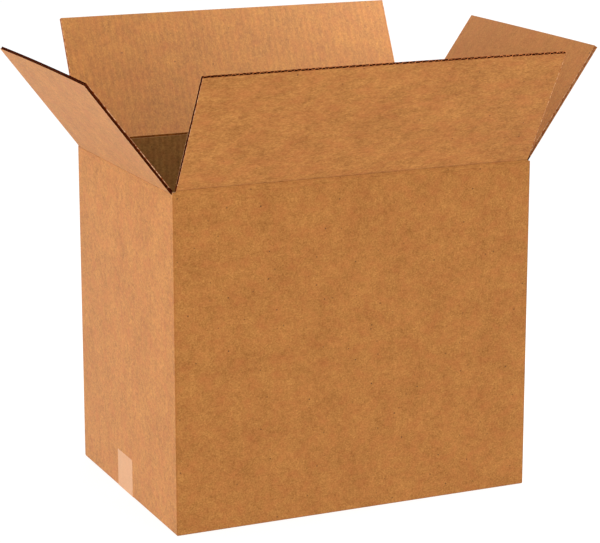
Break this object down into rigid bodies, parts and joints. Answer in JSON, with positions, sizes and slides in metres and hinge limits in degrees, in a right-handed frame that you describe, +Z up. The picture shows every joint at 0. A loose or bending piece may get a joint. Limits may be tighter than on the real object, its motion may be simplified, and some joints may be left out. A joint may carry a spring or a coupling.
{
  "type": "open corrugated cardboard box",
  "caption": "Slotted shipping carton of corrugated board, standing open: the bottom flaps are folded shut under tape and the top flaps lean outwards on their creases.",
  "frame": {"origin": "on the floor, under the middle of the box, on the tape's lower face", "axes": "+X along the long walls to the right, +Y along the short walls to the back, +Z up"},
  "size_m": [0.6123, 0.4545, 0.5231],
  "materials": {
    "kraft_board": "uncoated kraft liner, matt",
    "packing_tape": "smooth, slightly shiny"
  },
  "bodies": {
    "carton": {"carton_body": "kraft_board", "bottom_tape": "packing_tape"},
    "front_flap": {"front_flap": "kraft_board"},
    "right_flap": {"right_flap": "kraft_board"},
    "back_flap": {"back_flap": "kraft_board"},
    "left_flap": {"left_flap": "kraft_board"}
  },
  "joints": [
    {"name": "front_flap_hinge", "type": "hinge", "parent": "carton", "child": "front_flap", "pos_m": [0, -0.154, 0.385], "axis": [1, 0, 0], "range_deg": [-121, 134]},
    {"name": "right_flap_hinge", "type": "hinge", "parent": "carton", "child": "right_flap", "pos_m": [0.216, 0, 0.381], "axis": [0, 1, 0], "range_deg": [-125, 130]},
    {"name": "back_flap_hinge", "type": "hinge", "parent": "carton", "child": "back_flap", "pos_m": [0, 0.154, 0.385], "axis": [-1, 0, 0], "range_deg": [-116.5, 138.5]},
    {"name": "left_flap_hinge", "type": "hinge", "parent": "carton", "child": "left_flap", "pos_m": [-0.216, 0, 0.381], "axis": [0, -1, 0], "range_deg": [-127.5, 127.5]}
  ]
}
